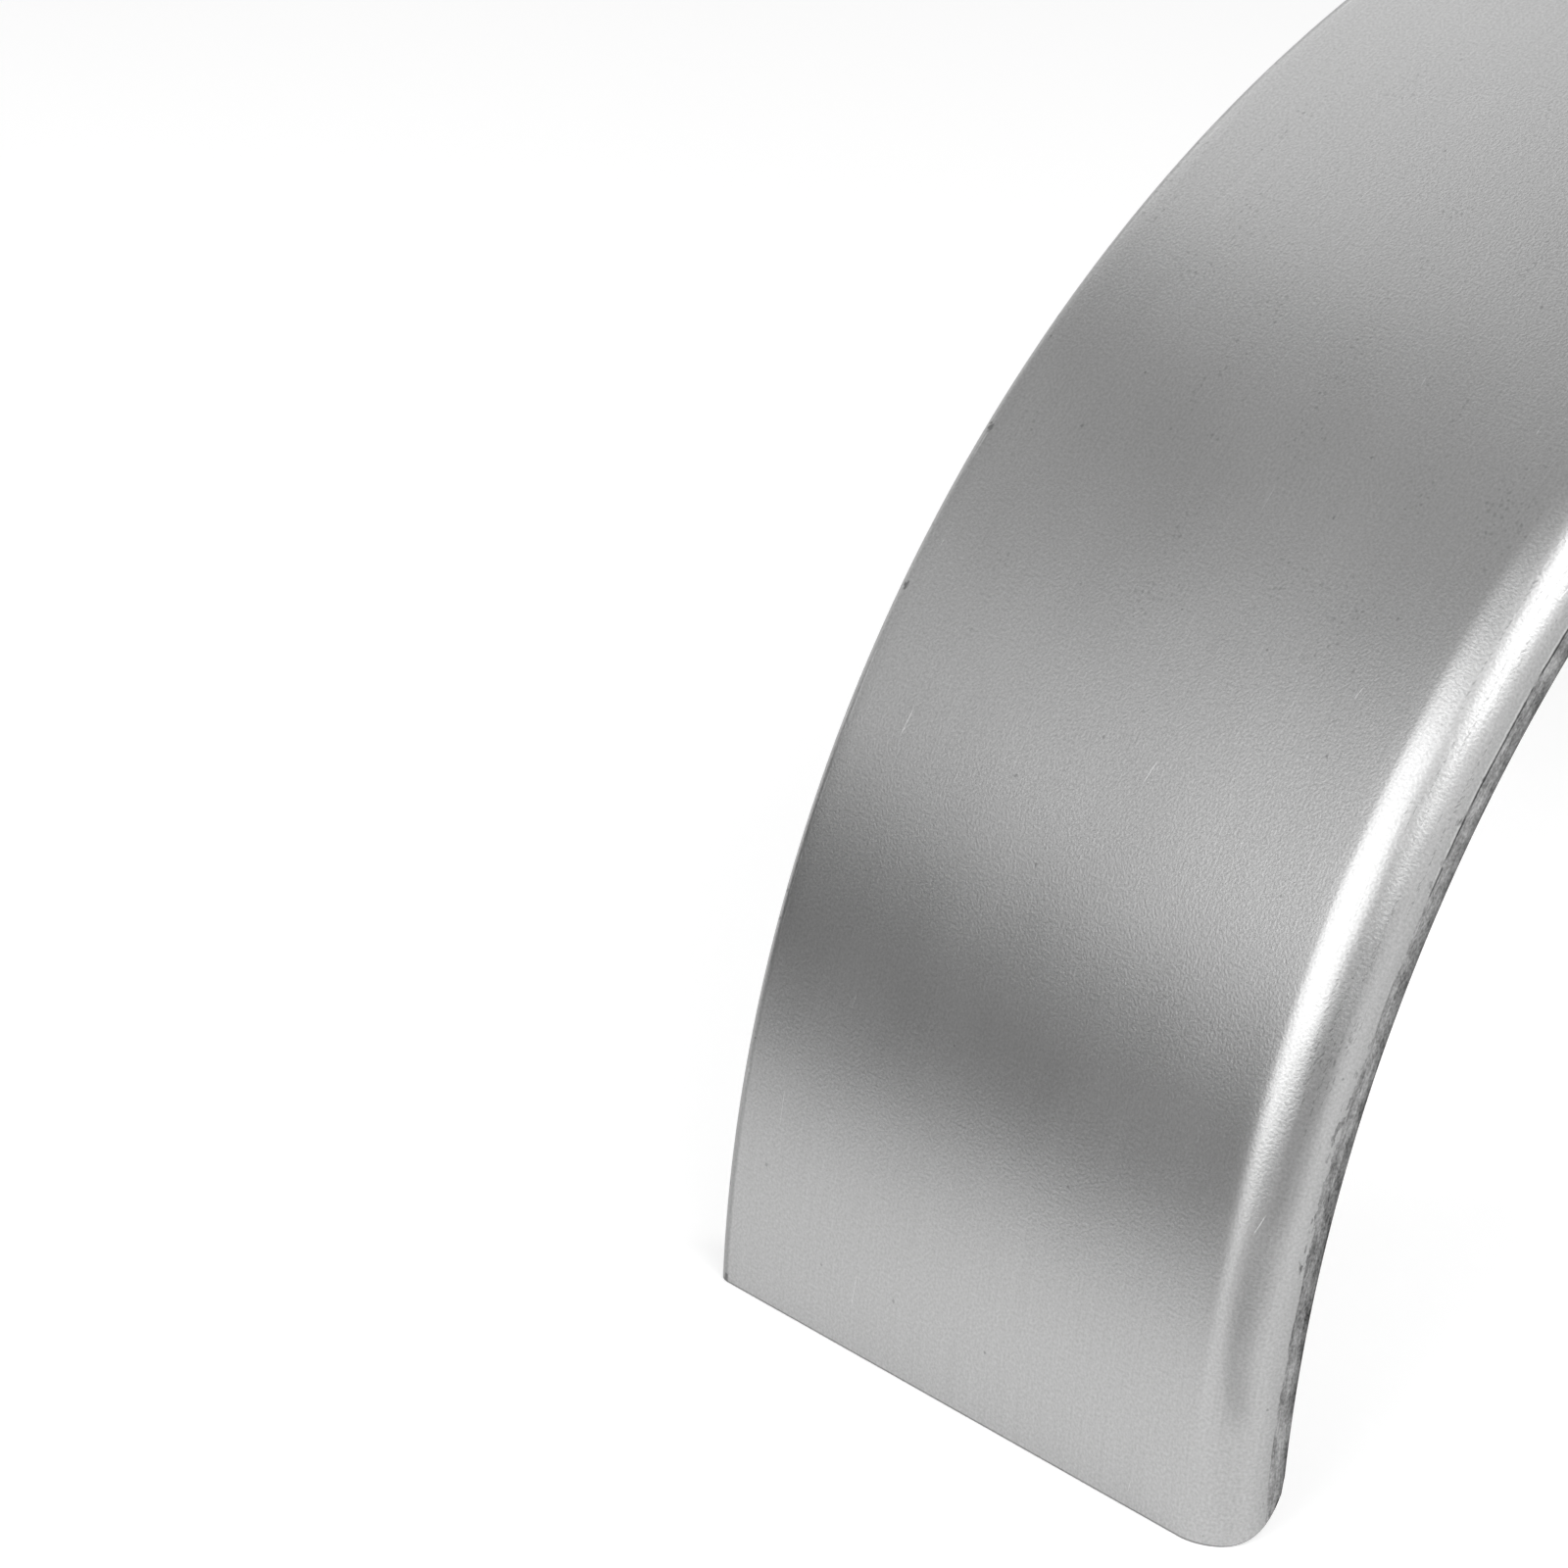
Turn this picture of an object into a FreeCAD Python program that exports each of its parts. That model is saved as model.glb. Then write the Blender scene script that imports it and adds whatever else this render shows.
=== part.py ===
import FreeCAD, Part
import math
import os

# Trailer mudguard: one arch of pressed sheet steel with a channel section. The outer edge is
# turned in through a large roll, the inner edge is bent square into the flange that is fixed
# to the trailer. X runs along the arch, Y across it with the rolled edge at -Y, and Z is up,
# with 0 where the two ends stand.

# Driving dimensions in millimetres
arch_radius = 410.0          # arch centre to the outer face of the web
centre_below_ends = 21.0     # depth of the arch centre under the level of the two ends
guard_width = 224.0          # over both flanges
sheet_thickness = 1.5
roll_radius = 17.0           # outer face of the large roll along the outer edge
roll_lip = 5.5               # straight strip of sheet that follows the roll, down to the free edge
bend_radius = 6.0            # outer face of the tight bend along the inner edge
flange_depth = 22.0          # web's outer face to the free edge of the inner flange
roll_corner_radius = 20.0    # rounding of the free corners of the rolled edge, seen from the side
flange_corner_radius = 5.0   # rounding of the free corners of the inner flange

# Sizes that follow from them
half_width = guard_width / 2
arch_centre = FreeCAD.Vector(0, 0, -centre_below_ends)
rolled_edge_depth = roll_radius + roll_lip
cut_margin = 4 * sheet_thickness     # how far a cutting shape runs past the sheet


def section_point(y, depth):
    """Point of the section, drawn straight below the arch centre: depth is measured from the
    web's outer face towards the centre."""
    return arch_centre + FreeCAD.Vector(0, y, depth - arch_radius)


def corner_arc(side, edge_distance, depth, radius):
    """Quarter turn between the web and a flange, about the point that lies edge_distance in
    from the outer face of the flange on the given side and depth below the web."""
    centre = section_point(side * (half_width - edge_distance), depth)
    diagonal = radius * math.sqrt(0.5)
    on_flange = centre + FreeCAD.Vector(0, side * radius, 0)
    middle = centre + FreeCAD.Vector(0, side * diagonal, -diagonal)
    on_web = centre + FreeCAD.Vector(0, 0, -radius)
    return on_flange, middle, on_web


def skin(inset):
    """One face of the sheet, from the free edge of the rolled side to that of the inner flange.
    inset is 0 for the outer face and the sheet's thickness for the inner one."""
    roll = corner_arc(-1, roll_radius, roll_radius, roll_radius - inset)
    bend = corner_arc(1, bend_radius, bend_radius, bend_radius - inset)
    roll_edge = section_point(-half_width + inset, rolled_edge_depth)
    flange_edge = section_point(half_width - inset, flange_depth)
    edges = [
        Part.LineSegment(roll_edge, roll[0]).toShape(),
        Part.Arc(*roll).toShape(),
        Part.LineSegment(roll[2], bend[2]).toShape(),
        Part.Arc(bend[2], bend[1], bend[0]).toShape(),
        Part.LineSegment(bend[0], flange_edge).toShape(),
    ]
    return edges, roll_edge, flange_edge


def sheet_section():
    """Closed outline of the bent sheet across the arch."""
    outer, outer_start, outer_end = skin(0)
    inner, inner_start, inner_end = skin(sheet_thickness)
    ends = [
        Part.LineSegment(outer_end, inner_end).toShape(),
        Part.LineSegment(inner_start, outer_start).toShape(),
    ]
    return Part.Face(Part.Wire(Part.sortEdges(outer + inner + ends)[0]))


def arch():
    """The section carried round the arch and cut off level where the guard stands."""
    ring = sheet_section().revolve(arch_centre, FreeCAD.Vector(0, 1, 0), 360)
    reach = arch_radius + cut_margin
    above_ends = Part.makeBox(
        2 * reach,
        guard_width + 2 * cut_margin,
        reach,
        FreeCAD.Vector(-reach, -half_width - cut_margin, 0),
    )
    return ring.common(above_ends)


def corner_offcut(side, free_edge_depth, wanted_radius):
    """Waste outside the rounding of a flange's free corner, at the -X end: bounded by an arc
    that runs tangent from the flange's free edge to the level of the end. It reaches from past
    the flange to the middle of the guard. The rounding stops short of the web, so that the
    offcut meets no sheet there."""
    corner_radius = min(wanted_radius, free_edge_depth - sheet_thickness)
    edge_radius = arch_radius - free_edge_depth
    arc_centre_x = -math.sqrt(
        (edge_radius + corner_radius) ** 2 - (centre_below_ends + corner_radius) ** 2
    )
    arc_centre = FreeCAD.Vector(arc_centre_x, 0, corner_radius)
    outward = (arc_centre - arch_centre).normalize()
    on_edge = arch_centre + outward * edge_radius
    on_end = FreeCAD.Vector(arc_centre_x, 0, 0)
    between = ((on_edge + on_end) * 0.5 - arc_centre).normalize()
    on_arc = arc_centre + between * corner_radius
    inside_edge = arch_centre + outward * (edge_radius - cut_margin)
    under_inside = FreeCAD.Vector(inside_edge.x, 0, -cut_margin)
    under_end = FreeCAD.Vector(arc_centre_x, 0, -cut_margin)
    outline = Part.Wire([
        Part.Arc(on_edge, on_arc, on_end).toShape(),
        Part.LineSegment(on_end, under_end).toShape(),
        Part.LineSegment(under_end, under_inside).toShape(),
        Part.LineSegment(under_inside, inside_edge).toShape(),
        Part.LineSegment(inside_edge, on_edge).toShape(),
    ])
    return Part.Face(outline).extrude(FreeCAD.Vector(0, side * (half_width + cut_margin), 0))


def mudguard():
    """The finished guard: the arch with the free corners of both flanges rounded at each end."""
    offcuts = []
    for side, depth, radius in (
        (-1, rolled_edge_depth, roll_corner_radius),
        (1, flange_depth, flange_corner_radius),
    ):
        offcut = corner_offcut(side, depth, radius)
        offcuts.append(offcut)
        offcuts.append(offcut.mirror(FreeCAD.Vector(0, 0, 0), FreeCAD.Vector(1, 0, 0)))
    guard = arch().cut(offcuts)
    return guard.Solids[0] if len(guard.Solids) == 1 else guard


os.makedirs("parts", exist_ok=True)
sheet = mudguard()
sheet.exportStep("parts/mudguard.step")
box = sheet.optimalBoundingBox(True, False)
print("mudguard: %.1f x %.1f x %.1f mm" % (box.XLength, box.YLength, box.ZLength))
print("valid %s, solids %d, volume %.0f mm3" % (sheet.isValid(), len(sheet.Solids), sheet.Volume))
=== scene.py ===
import math

import bpy
import numpy as np
from mathutils import Matrix, Vector


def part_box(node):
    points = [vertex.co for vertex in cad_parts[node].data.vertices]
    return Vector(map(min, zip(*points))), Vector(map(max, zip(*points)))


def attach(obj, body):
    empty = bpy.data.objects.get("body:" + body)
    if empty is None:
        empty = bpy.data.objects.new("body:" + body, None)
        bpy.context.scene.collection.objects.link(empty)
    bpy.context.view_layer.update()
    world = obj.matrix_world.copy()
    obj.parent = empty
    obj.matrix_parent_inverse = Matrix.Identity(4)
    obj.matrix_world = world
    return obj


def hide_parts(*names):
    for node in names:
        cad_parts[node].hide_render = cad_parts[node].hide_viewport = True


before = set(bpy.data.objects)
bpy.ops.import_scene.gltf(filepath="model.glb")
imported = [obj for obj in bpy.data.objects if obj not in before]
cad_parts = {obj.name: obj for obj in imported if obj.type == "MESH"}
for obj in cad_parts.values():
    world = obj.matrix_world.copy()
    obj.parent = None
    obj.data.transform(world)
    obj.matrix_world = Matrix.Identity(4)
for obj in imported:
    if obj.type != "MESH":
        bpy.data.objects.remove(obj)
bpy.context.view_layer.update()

# The guard's place and overall size come from its CAD node, in metres
lowCorner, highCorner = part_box("mudguard")
archHeight = highCorner.z - lowCorner.z
halfRun = (highCorner.x - lowCorner.x) / 2
archRadius = (halfRun ** 2 + archHeight ** 2) / (2 * archHeight)

guard = {
    "radius": archRadius,                       # arch centre to the outer face of the web
    "centreHeight": highCorner.z - archRadius,  # a little under the level of the ends
    "rollSide": lowCorner.y,                    # outer face of the rolled edge
    "flangeSide": highCorner.y,                 # outer face of the inner flange
    "thickness": 0.0015,
    "rollRadius": 0.017,
    "rollLip": 0.0055,
    "bendRadius": 0.006,
    "flangeDepth": 0.022,
    "rollCorner": 0.020,                        # rounding of the rolled edge's free corners
    "flangeCorner": 0.005,
    "edgeRound": 0.00035,                       # sheared edges, slightly dulled
    "firstStep": 0.0009,                        # first row of the mesh in from a cut edge
    "rowStep": 0.0038,                          # rows along the arch
    "endBlend": 0.060,                          # rows turn from the cut's line to straight across
    "lipSteps": 4,
    "rollSteps": 28,
    "webSteps": 46,
    "bendSteps": 12,
    "flangeSteps": 6,
    "rimSteps": 3,
    "waviness": 0.00006,                        # unevenness left by forming the roll
    "waves": (                                  # and its waves: length, share, phase, swing across
        (0.083, 1.0, 0.4, 2.1), (0.047, 0.7, 2.2, -3.0),
        (0.029, 0.45, 4.1, 4.2), (0.0171, 0.2, 1.3, -6.0),
    ),
    "insideShift": 3.0,                         # added to the lengths along the inside skin
}

camera = {
    "place": (-1.52062, -1.32231, 0.89173),
    "azimuth": 38.4137,
    "elevation": 22.0367,
    "lens": 155.957,
    "sensor": 36.0,
    "sees": 100,
}


def sectionLine(g):
    # Middle of the sheet across the guard: lip, quarter turn, flat web, quarter turn, flange.
    # Gives y, depth under the web's outer face, the two parts of the normal and the length run
    half = g["thickness"] / 2
    rollTurn = np.linspace(0, math.pi / 2, g["rollSteps"] + 1)
    rollMid = g["rollRadius"] - half
    bendTurn = np.linspace(0, math.pi / 2, g["bendSteps"] + 1)
    bendMid = g["bendRadius"] - half
    rolledDepth = g["rollRadius"] + g["rollLip"]

    lipDepth = np.concatenate((
        [rolledDepth],
        np.linspace(rolledDepth - g["firstStep"], g["rollRadius"], g["lipSteps"]),
    ))
    flangeDepth = np.concatenate((
        np.linspace(g["bendRadius"], g["flangeDepth"] - g["firstStep"], g["flangeSteps"]),
        [g["flangeDepth"]],
    ))
    webY = np.linspace(g["rollSide"] + g["rollRadius"], g["flangeSide"] - g["bendRadius"],
                       g["webSteps"] + 1)

    y = np.concatenate((
        np.full(lipDepth.size, g["rollSide"] + half),
        g["rollSide"] + g["rollRadius"] - rollMid * np.cos(rollTurn[1:]),
        webY[1:],
        g["flangeSide"] - g["bendRadius"] + bendMid * np.sin(bendTurn[1:]),
        np.full(flangeDepth.size - 1, g["flangeSide"] - half),
    ))
    depth = np.concatenate((
        lipDepth,
        g["rollRadius"] - rollMid * np.sin(rollTurn[1:]),
        np.full(webY.size - 1, half),
        g["bendRadius"] - bendMid * np.cos(bendTurn[1:]),
        flangeDepth[1:],
    ))
    normalY = np.concatenate((
        np.full(lipDepth.size, -1.0),
        -np.cos(rollTurn[1:]),
        np.zeros(webY.size - 1),
        np.sin(bendTurn[1:]),
        np.ones(flangeDepth.size - 1),
    ))
    normalOut = np.concatenate((
        np.zeros(lipDepth.size),
        np.sin(rollTurn[1:]),
        np.ones(webY.size - 1),
        np.cos(bendTurn[1:]),
        np.zeros(flangeDepth.size - 1),
    ))
    run = np.concatenate(([0.0], np.cumsum(np.hypot(np.diff(y), np.diff(depth)))))
    return y, depth, normalY, normalOut, run


def endAngle(g, radius, freeRadius, corner):
    # Angle above the arch centre's level at which the guard ends, for points at a distance from
    # the centre: the level cut, or the arc of the rounded corner where that comes first
    centreDrop = -g["centreHeight"]
    reach = freeRadius + corner
    arcAngle = math.asin((centreDrop + corner) / reach)
    arcFoot = math.hypot(math.sqrt(reach ** 2 - (centreDrop + corner) ** 2), centreDrop)
    level = np.arcsin(centreDrop / radius)
    cosine = (radius ** 2 + reach ** 2 - corner ** 2) / (2 * radius * reach)
    rounded = arcAngle - np.arccos(np.clip(cosine, -1, 1))
    return np.where(radius < arcFoot, rounded, level)


def guardSurface(g):
    # Point at (row, column): the section's point at that column, turned about the arch's axis by
    # the row's angle. Rows start on the line of the cut end and soon run straight across
    y, depth, normalY, normalOut, run = sectionLine(g)
    radius = g["radius"] - depth
    onRoll = y < (g["rollSide"] + g["flangeSide"]) / 2
    rolledFree = g["radius"] - g["rollRadius"] - g["rollLip"]
    flangeFree = g["radius"] - g["flangeDepth"]
    start = np.where(
        onRoll,
        endAngle(g, radius, rolledFree, g["rollCorner"]),
        endAngle(g, radius, flangeFree, g["flangeCorner"]),
    )
    webStart = math.asin(-g["centreHeight"] / (g["radius"] - g["thickness"] / 2))

    firstAngle = g["firstStep"] / g["radius"]
    rowCount = int(round((math.pi - 2 * webStart) * g["radius"] / g["rowStep"]))
    rows = np.linspace(webStart + firstAngle, math.pi - webStart - firstAngle, rowCount)
    rows = np.concatenate(([webStart], rows, [math.pi - webStart]))
    blend = g["endBlend"] / g["radius"]
    nearStart = np.clip(1 - (rows - webStart) / blend, 0, 1) ** 2
    nearEnd = np.clip(1 - (math.pi - webStart - rows) / blend, 0, 1) ** 2
    angle = rows[:, None] + (nearStart - nearEnd)[:, None] * (start - webStart)[None, :]

    outward = np.stack((-np.cos(angle), np.zeros_like(angle), np.sin(angle)), axis=-1)
    across = np.array([0.0, 1.0, 0.0])
    normal = normalOut[None, :, None] * outward + normalY[None, :, None] * across
    centre = np.array([(lowCorner.x + highCorner.x) / 2, 0.0, g["centreHeight"]])
    middle = centre + radius[None, :, None] * outward + y[None, :, None] * across

    along = (angle - webStart) * g["radius"]
    bump = rollUnevenness(g, along, run)
    middle = middle + (g["waviness"] * bump)[..., None] * normal
    sheetRun = np.stack((along, np.broadcast_to(run, along.shape)), axis=-1)
    return middle, normal, sheetRun


def rollUnevenness(g, along, run):
    # Sum of a few waves along the arch, each swinging a little across the roll, faded out on the
    # web and the lip: what the forming rolls leave behind
    place = np.clip((run - g["rollLip"]) / (g["rollRadius"] * math.pi / 2), 0, 1)
    waves = sum(share * np.sin(2 * math.pi * along / length + phase + swing * place)
                for length, share, phase, swing in g["waves"])
    return waves * np.sin(math.pi * place)


def edgeLoop(rowCount, columnCount):
    # Numbers of the grid's border vertices, once round
    grid = np.arange(rowCount * columnCount).reshape(rowCount, columnCount)
    return np.concatenate((grid[0, :-1], grid[:-1, -1], grid[-1, :0:-1], grid[:0:-1, 0]))


def gridFaces(rowCount, columnCount, offset, flipped):
    # Quads between neighbouring rows and columns, turning the other way where flipped
    grid = np.arange(rowCount * columnCount).reshape(rowCount, columnCount) + offset
    corners = (grid[:-1, :-1], grid[:-1, 1:], grid[1:, 1:], grid[1:, :-1])
    if flipped:
        corners = corners[::-1]
    return np.stack(corners, axis=-1).reshape(-1, 4)


def rimFaces(loops):
    # Quads between each closed loop of vertices and the next
    here = np.stack(loops[:-1])
    after = np.stack(loops[1:])
    quads = np.stack((here, after, np.roll(after, -1, axis=1), np.roll(here, -1, axis=1)), axis=-1)
    return quads.reshape(-1, 4)


def guardMesh(g):
    # The middle surface set off by half a thickness each way, closed by a rim whose profile is a
    # small round, the straight cut and a small round again, carried once round the border
    middle, normal, sheetRun = guardSurface(g)
    rowCount, columnCount = middle.shape[:2]
    half = g["thickness"] / 2
    small = g["edgeRound"]
    flatMiddle = middle.reshape(-1, 3)
    flatNormal = normal.reshape(-1, 3)
    flatRun = sheetRun.reshape(-1, 2)
    skinSize = flatMiddle.shape[0]

    border = edgeLoop(rowCount, columnCount)
    borderMid = flatMiddle[border]
    borderNormal = flatNormal[border]
    tangent = np.roll(borderMid, -1, axis=0) - np.roll(borderMid, 1, axis=0)
    tangent /= np.linalg.norm(tangent, axis=1, keepdims=True)
    outward = np.cross(tangent, borderNormal)
    if np.sum(outward[:columnCount] * (middle[0] - middle[1])) < 0:
        outward = -outward

    skinBorder = borderMid - small * outward
    outer = flatMiddle + half * flatNormal
    inner = flatMiddle - half * flatNormal
    outer[border] = skinBorder + half * borderNormal
    inner[border] = skinBorder - half * borderNormal

    turn = np.linspace(0, math.pi / 2, g["rimSteps"] + 1)[1:]
    lift = half - small + small * np.cos(turn)
    push = small * np.sin(turn) - small
    lift = np.concatenate((lift, -lift[::-1]))
    push = np.concatenate((push, push[::-1]))
    rim = [borderMid + up * borderNormal + out * outward for up, out in zip(lift, push)]

    points = np.concatenate([outer, inner] + rim)
    insideRun = flatRun + (g["insideShift"], 0.0)
    runs = np.concatenate([flatRun, insideRun] + [flatRun[border]] * len(rim))
    loops = [border]
    loops += [2 * skinSize + k * border.size + np.arange(border.size) for k in range(len(rim))]
    loops += [border + skinSize]

    parts = (
        gridFaces(rowCount, columnCount, 0, False),
        gridFaces(rowCount, columnCount, skinSize, True),
        rimFaces(loops),
    )
    finish = np.repeat(np.arange(3), [len(part) for part in parts])
    return points, np.concatenate(parts), finish, runs


def pieceFromArrays(name, points, faces, slots, runs, materials):
    mesh = bpy.data.meshes.new(name)
    mesh.from_pydata(points.tolist(), [], faces.tolist())
    mesh.polygons.foreach_set("use_smooth", np.ones(len(faces), bool))
    for material in materials:
        mesh.materials.append(material)
    mesh.polygons.foreach_set("material_index", slots.astype(np.int32))
    corners = np.zeros(len(mesh.loops), np.int32)
    mesh.loops.foreach_get("vertex_index", corners)
    layer = mesh.uv_layers.new(name="sheetRun")
    layer.data.foreach_set("uv", runs[corners].astype(np.float32).ravel())
    mesh.update()
    mesh.validate()
    piece = bpy.data.objects.new(name, mesh)
    bpy.context.scene.collection.objects.link(piece)
    return piece


def volumeOf(points, faces):
    # Signed volume of the closed mesh, positive when its faces point outwards
    a, b, c, d = (points[faces[:, k]] for k in range(4))
    return (np.einsum("ij,ij->i", a, np.cross(b, c)).sum()
            + np.einsum("ij,ij->i", a, np.cross(c, d)).sum()) / 6


steel = {
    "colour": (0.50, 0.50, 0.50, 1),
    "scaleColour": (0.29, 0.29, 0.29, 1),       # mill scale left along the rolled free edge
    "webRoughness": 0.324,
    "rollRoughness": 0.357,
    "innerRoughness": 0.38,
    "scaleRoughness": 0.50,
    "grainShade": 0.25,                         # how far each effect lightens or darkens the metal
    "lineShade": 0.055,
    "cloudShade": 0.035,
    "speckShade": 0.32,
    "scratchShade": 0.35,
    "scoreShade": 0.25,
    "rubShade": 0.28,
    "streakShade": 0.20,
    "paleDashShade": 0.40,
    # painted shade on the bend near the arch's ends
    "bendPaintedShade": 0.26,
    "spotShade": 0.50,
    "flangeShade": 0.62,
    "stainShade": 0.34,
    "prickShade": 0.20,
    # painted shade along the cut end where the arch starts
    "endPaintedShade": 0.45,
    "freeEdgeDarkShade": 0.16,
    # painted shade along the crease, and a painted highlight line beside it
    "creasePaintedShade": 0.75,
    "glintPaintedHighlight": 0.25,
    "mottleShade": (4.0, -0.92),                # shade of the scale: rise with its mottling, base
    "flangeMottle": (-1.1, 0.75),
    "cloudRoughness": 0.05,
    "grainRelief": 2.7,
    "scratchRelief": -1.0,
    "creaseRelief": -2.0,
    "reliefDepth": 0.00002,
}

innerValues = {"lines": 1.6, "clouds": 2.5, "scaleShade": 0.6, "cloudRoughness": 0.10}
cutValues = {"shade": 0.62, "grainShade": 0.30, "lineShade": 0.25, "roughness": 0.36,
             "cloudRoughness": 0.2}

# Lengths on the sheet: round the arch, and across it to where the roll ends and the bend starts
archRun = (math.pi - 2 * math.asin(-guard["centreHeight"] / guard["radius"])) * guard["radius"]
rollEnd = guard["rollLip"] + (guard["rollRadius"] - guard["thickness"] / 2) * math.pi / 2
webWide = guard["flangeSide"] - guard["rollSide"] - guard["rollRadius"] - guard["bendRadius"]
bendStart = rollEnd + webWide
bendEnd = bendStart + (guard["bendRadius"] - guard["thickness"] / 2) * math.pi / 2
sheetWide = bendEnd + guard["flangeDepth"] - guard["bendRadius"]

# Values that each finish gives to the shared effects, lengths in metres on the sheet
outerGrain = {"Grain Size": 0.0009, "Line Length": 0.045, "Line Width": 0.0010, "Cloud Size": 0.070}
innerGrain = {"Grain Size": 0.0014, "Line Length": 0.060, "Line Width": 0.0013, "Cloud Size": 0.050}
cutGrain = {"Grain Size": 0.0007, "Line Length": 0.0040, "Line Width": 0.0004, "Cloud Size": 0.020}
webSpecks = {"Cell Size": 0.020, "Share": 0.16, "Mark Size": 0.00050}
webPricks = {"Cell Size": 0.0026, "Share": 0.45, "Mark Size": 0.00055}
innerSpecks = {"Cell Size": 0.012, "Share": 0.50, "Mark Size": 0.00080}
bendSpecks = {"Cell Size": 0.0075, "Share": 0.30, "Mark Size": 0.00110}
hairlines = {"Cell Size": 0.045, "Share": 0.45, "Length": 0.0045, "Width": 0.00016, "Lean": 0.35}
freeEdge = {"Strip Width": 0.0059, "Wander": 0.0008, "Patch Reach": 0.0032, "Crease From": 0.14}
rollRub = {"From": 0.0070, "To": 0.0245, "End Gap": 0.10, "Dash Along": 0.0020,
           "Dash Across": 0.00055, "Lean": 0.35}
flangeEdge = {"Strip Width": 0.0068, "Wander": 0.0014, "Patch Reach": 0.0050}
flangeRub = {"From": bendEnd + 0.0010, "To": sheetWide, "End Gap": 0.012, "Dash Along": 0.0110,
             "Dash Across": 0.0007, "Lean": 0.06}
# lighter dashes along the bend
bendPaleDashes = {"From": bendStart - 0.0012, "To": bendStart + 0.0052, "End Gap": 0.03,
             "Dash Along": 0.0140, "Dash Across": 0.0009, "Lean": 0.0}
rollStreak = {"Middle": 0.0213, "Drift": 0.010, "Curl": 0.0030, "Half Width": 0.0043, "From": 0.031,
              "To": 0.100}
darkLines = {"Cell Size": 0.060, "Share": 0.12, "Length": 0.0035, "Width": 0.00022, "Lean": 0.30}


def joinSocket(tree, value, socket):
    # A number is set on the socket itself, and another node's output is linked to it
    if isinstance(value, bpy.types.NodeSocket):
        tree.links.new(value, socket)
    else:
        socket.default_value = value


def mathNode(tree, operation, *values):
    node = tree.nodes.new("ShaderNodeMath")
    node.operation = operation
    for socket, value in zip(node.inputs, values):
        joinSocket(tree, value, socket)
    return node.outputs[0]


def vectorNode(tree, operation, *values):
    node = tree.nodes.new("ShaderNodeVectorMath")
    node.operation = operation
    for socket, value in zip(node.inputs, values):
        joinSocket(tree, value, socket)
    return node.outputs[0]


def rangeNode(tree, value, low, high, fromLow=0.0, toHigh=1.0):
    # Smooth step of a value between two limits
    node = tree.nodes.new("ShaderNodeMapRange")
    node.interpolation_type = "SMOOTHSTEP"
    for socket, given in zip(node.inputs, (value, low, high, fromLow, toHigh)):
        joinSocket(tree, given, socket)
    return node.outputs[0]


def fallNode(tree, value, low, high):
    return rangeNode(tree, value, low, high, 1.0, 0.0)


def noiseNode(tree, surface, along, across, detail=2.0, shift=0.0):
    # Flat noise whose features are so long along the sheet and so wide across it
    stretch = tree.nodes.new("ShaderNodeCombineXYZ")
    joinSocket(tree, mathNode(tree, "DIVIDE", 1.0, along), stretch.inputs["X"])
    joinSocket(tree, mathNode(tree, "DIVIDE", 1.0, across), stretch.inputs["Y"])
    place = vectorNode(tree, "MULTIPLY_ADD", surface, stretch.outputs[0], (shift, shift, 0))
    node = tree.nodes.new("ShaderNodeTexNoise")
    node.noise_dimensions = "2D"
    node.inputs["Scale"].default_value = 1.0
    node.inputs["Detail"].default_value = detail
    tree.links.new(place, node.inputs["Vector"])
    return node.outputs[0]


def startGroup(name, inputs, outputs):
    # Node group with a Surface vector, the named numbers that can be set, and number outputs
    group = bpy.data.node_groups.new(name, "ShaderNodeTree")
    group.interface.new_socket("Surface", in_out="INPUT", socket_type="NodeSocketVector")
    for label in inputs:
        group.interface.new_socket(label, in_out="INPUT", socket_type="NodeSocketFloat")
    for label in outputs:
        group.interface.new_socket(label, in_out="OUTPUT", socket_type="NodeSocketFloat")
    given = group.nodes.new("NodeGroupInput").outputs
    return group, given, group.nodes.new("NodeGroupOutput").inputs


def useGroup(tree, group, surface, values):
    node = tree.nodes.new("ShaderNodeGroup")
    node.node_tree = group
    tree.links.new(surface, node.inputs["Surface"])
    for label, value in values.items():
        node.inputs[label].default_value = value
    return node.outputs


def productNode(tree, first, *others):
    for other in others:
        first = mathNode(tree, "MULTIPLY", first, other)
    return first


def windowNode(tree, value, rise, fall):
    # Rises to 1 over the first pair of limits and falls back to 0 over the second
    return productNode(tree, rangeNode(tree, value, *rise), fallNode(tree, value, *fall))


def splitNode(tree, vector):
    parts = tree.nodes.new("ShaderNodeSeparateXYZ")
    tree.links.new(vector, parts.inputs[0])
    return parts.outputs["X"], parts.outputs["Y"]


def turnNode(tree, vector, angle):
    turn = tree.nodes.new("ShaderNodeVectorRotate")
    turn.rotation_type = "Z_AXIS"
    tree.links.new(vector, turn.inputs["Vector"])
    tree.links.new(angle, turn.inputs["Angle"])
    return turn.outputs[0]


def fromEndNode(tree, along):
    # Distance along the sheet from the nearer end of the arch, on either skin
    share = mathNode(tree, "FRACT", mathNode(tree, "DIVIDE", along, guard["insideShift"]))
    along = productNode(tree, share, guard["insideShift"])
    return mathNode(tree, "MINIMUM", along, mathNode(tree, "SUBTRACT", archRun, along))


# The inputs that are each noise's length and width, its detail and its shift
grainNoises = {
    "Grain": ("Grain Size", "Grain Size", 3.0, 0.0),
    "Lines": ("Line Length", "Line Width", 3.0, 7.3),
    "Clouds": ("Cloud Size", "Cloud Size", 2.0, 3.1),
}


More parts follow.
